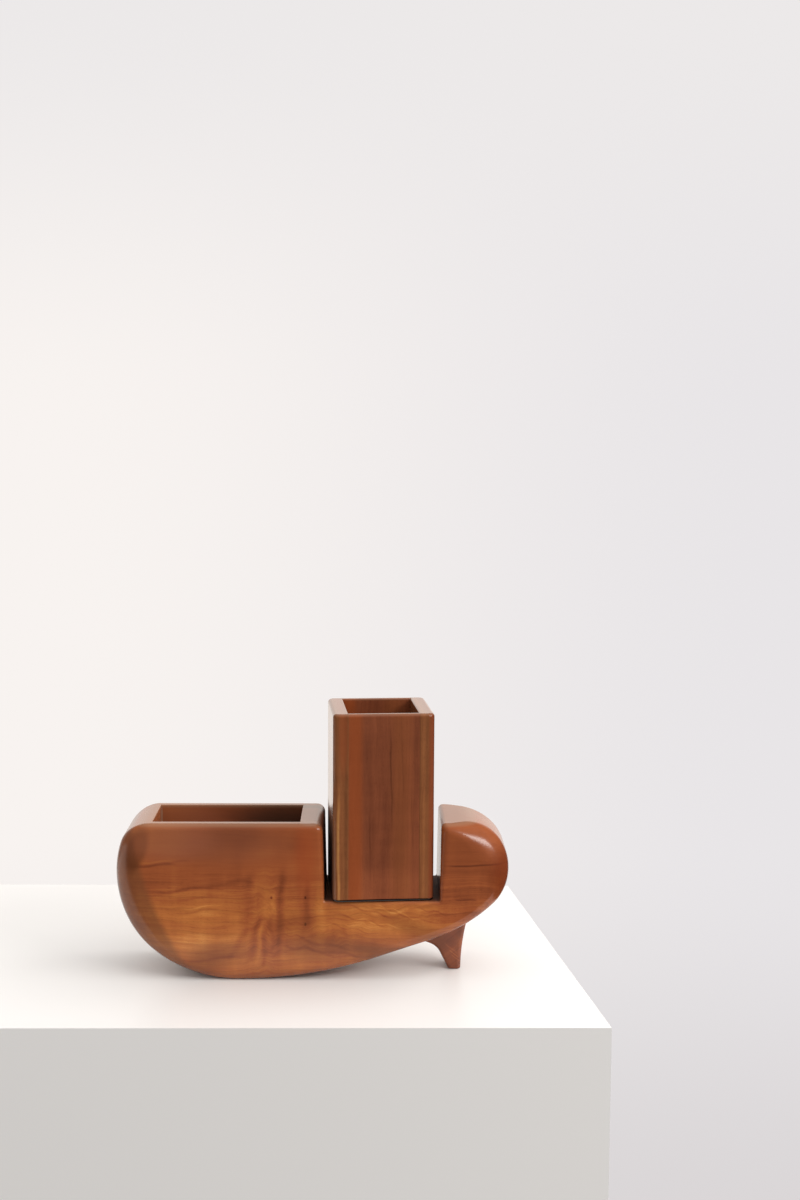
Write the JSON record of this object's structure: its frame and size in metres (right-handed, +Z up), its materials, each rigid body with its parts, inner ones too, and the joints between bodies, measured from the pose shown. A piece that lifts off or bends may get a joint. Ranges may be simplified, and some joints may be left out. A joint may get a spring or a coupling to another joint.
{
  "type": "wooden pen stand with tray",
  "caption": "Carved wooden desk stand with an open tray, a slot holding a loose square pen cup, a rounded head and a small fin-shaped foot.",
  "frame": {"origin": "on the surface the stand rests on, under the middle of its length and of its depth", "axes": "+X along the length, from the tray end to the head; -Y out of the front face; +Z up"},
  "size_m": [0.2048, 0.0558, 0.1405],
  "materials": {
    "body_wood": "clear satin lacquer on a red-brown hardwood, grain along the body",
    "foot_wood": "clear satin lacquer on a darker piece of the same hardwood",
    "pin_wood": "bare hardwood dowel",
    "cup_wood": "clear satin lacquer on a dark red-brown hardwood, upright grain"
  },
  "bodies": {
    "stand": {"body_core": "body_wood", "front_cheek": "body_wood", "back_cheek": "body_wood", "foot": "foot_wood", "foot_pin_1": "pin_wood", "foot_pin_2": "pin_wood"},
    "cup": {"cup_left_wall": "cup_wood", "cup_right_wall": "cup_wood", "cup_front_panel": "cup_wood", "cup_back_panel": "cup_wood", "cup_base": "cup_wood"}
  },
  "joints": [
    {"name": "cup_lift", "type": "slide", "parent": "stand", "child": "cup", "axis": [0, 0, 1], "range_m": [0, 0.05]}
  ]
}
